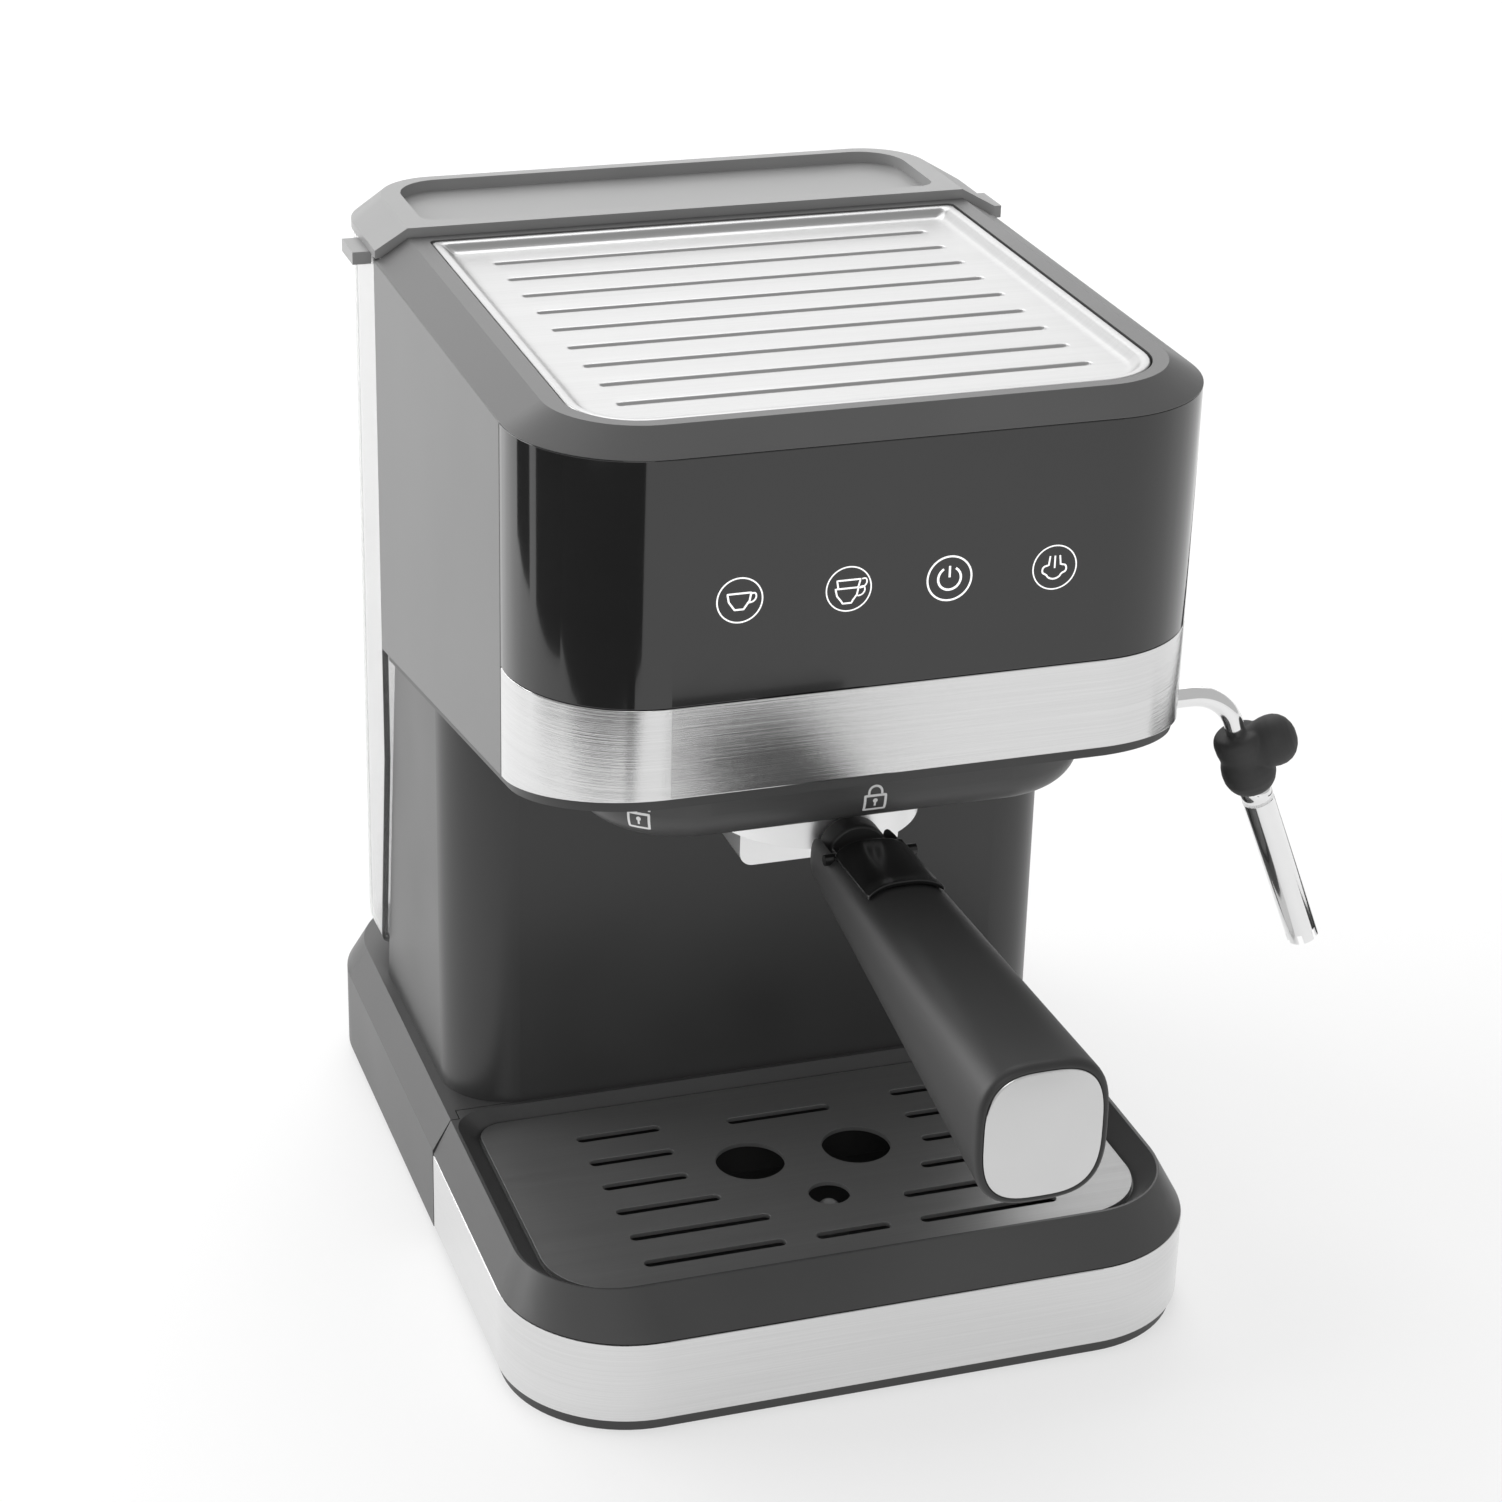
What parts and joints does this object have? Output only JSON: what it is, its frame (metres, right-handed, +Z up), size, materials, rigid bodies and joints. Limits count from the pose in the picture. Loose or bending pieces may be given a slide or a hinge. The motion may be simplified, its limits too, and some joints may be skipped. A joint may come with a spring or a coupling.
{
  "type": "espresso machine",
  "caption": "Home pump espresso machine with a bayonet filter holder, steam wand, touch panel, pull-out drip tray and lift-off water tank at the back.",
  "frame": {"origin": "centre of the base's underside, on the surface that it stands on", "axes": "+Z up; -Y out of the front, towards the filter holder's handle; +X to the steam wand's side"},
  "size_m": [0.2706, 0.3681, 0.292],
  "materials": {
    "black_plastic": "satin moulded",
    "brushed_steel": "brushed along its length",
    "cast_metal": "polished cast",
    "circuit_board": "printed circuit board",
    "clear_plastic": "clear moulded",
    "copper_pipe": "drawn tube",
    "gloss_black": "high gloss",
    "grey_panel": "satin moulded",
    "grey_plastic": "moulded",
    "polished_steel": "polished",
    "rubber": "matt",
    "soft_black": "soft touch",
    "white_mark": "lit from behind"
  },
  "bodies": {
    "machine": {"base_bottom_plate": "black_plastic", "base_screws": "polished_steel", "base_shell": "black_plastic", "boiler": "cast_metal", "boiler_thermostats": "grey_plastic", "brew_head_skirt": "black_plastic", "column_housing": "black_plastic", "column_rear_cover": "black_plastic", "control_panel": "gloss_black", "cord_gland": "black_plastic", "cup_plate": "brushed_steel", "group_gasket": "rubber", "group_head": "cast_metal", "head_bottom_cover": "black_plastic", "head_frame": "black_plastic", "head_steel_band": "brushed_steel", "heating_element": "cast_metal", "icon_rings": "white_mark", "power_board": "circuit_board", "pressure_pipe": "copper_pipe", "pump_mounts": "rubber", "rubber_feet": "rubber", "shower_screen": "brushed_steel", "shower_screw": "polished_steel", "side_panel_left": "grey_panel", "side_panel_right": "grey_panel", "steam_feed_pipe": "copper_pipe", "steam_outlet_pipe": "copper_pipe", "steam_valve": "cast_metal", "suction_hose": "rubber", "tank_plinth": "black_plastic", "tank_port_seal": "rubber", "top_deck": "black_plastic", "touch_board": "circuit_board", "wand_gland": "grey_plastic", "water_pump": "grey_plastic"},
    "drip_tray": {"drip_tray": "black_plastic", "tray_steel_band": "brushed_steel"},
    "drip_grill": {"drip_grill": "brushed_steel"},
    "tray_float": {"tray_float": "grey_plastic"},
    "filter_holder": {"filter_holder": "cast_metal", "coffee_spout": "cast_metal", "filter_basket": "brushed_steel", "holder_handle": "soft_black", "handle_end_plate": "polished_steel", "clip_pin": "polished_steel"},
    "filter_clip": {"filter_clip": "gloss_black"},
    "water_tank": {"tank_body": "clear_plastic", "tank_hinge_ears": "clear_plastic", "lid_hinge_pins": "polished_steel", "tank_valve_seat": "grey_plastic"},
    "tank_lid": {"tank_lid": "black_plastic", "lid_hinge_barrels": "black_plastic"},
    "tank_valve": {"tank_valve_plunger": "grey_plastic"},
    "steam_knob": {"steam_knob": "black_plastic"},
    "steam_wand": {"wand_tube": "polished_steel", "wand_grip": "soft_black"},
    "frother_sleeve": {"frother_sleeve": "polished_steel"}
  },
  "joints": [
    {"name": "tray_slide", "type": "slide", "parent": "machine", "child": "drip_tray", "axis": [0, -1, 0], "range_m": [0, 0.13]},
    {"name": "grill_lift", "type": "slide", "parent": "drip_tray", "child": "drip_grill", "axis": [0, 0, 1], "range_m": [0, 0.06]},
    {"name": "float_rise", "type": "slide", "parent": "drip_tray", "child": "tray_float", "axis": [0, 0, 1], "range_m": [0, 0.005]},
    {"name": "holder_turn", "type": "hinge", "parent": "machine", "child": "filter_holder", "pos_m": [0, -0.0546, 0.17], "axis": [0, 0, 1], "range_deg": [-58, 0]},
    {"name": "clip_flip", "type": "hinge", "parent": "filter_holder", "child": "filter_clip", "pos_m": [0, -0.104, 0.1576], "axis": [-1, 0, 0], "range_deg": [0, 40]},
    {"name": "tank_lift", "type": "slide", "parent": "machine", "child": "water_tank", "axis": [0, 0, 1], "range_m": [0, 0.245]},
    {"name": "lid_hinge", "type": "hinge", "parent": "water_tank", "child": "tank_lid", "pos_m": [0, 0.1232, 0.2855], "axis": [-1, 0, 0], "range_deg": [0, 100]},
    {"name": "valve_plunger", "type": "slide", "parent": "water_tank", "child": "tank_valve", "axis": [0, 0, -1], "range_m": [0, 0.0015], "stiffness_N_per_m": 60},
    {"name": "steam_knob_turn", "type": "hinge", "parent": "machine", "child": "steam_knob", "pos_m": [0.1, 0, 0.24], "axis": [1, 0, 0], "range_deg": [0, 180]},
    {"name": "wand_swivel", "type": "hinge", "parent": "machine", "child": "steam_wand", "pos_m": [0.088, -0.0576, 0.18], "axis": [0, 0, 1], "range_deg": [-45, 20]},
    {"name": "sleeve_pull", "type": "slide", "parent": "steam_wand", "child": "frother_sleeve", "axis": [0.3714, 0, -0.9285], "range_m": [0, 0.045]}
  ]
}
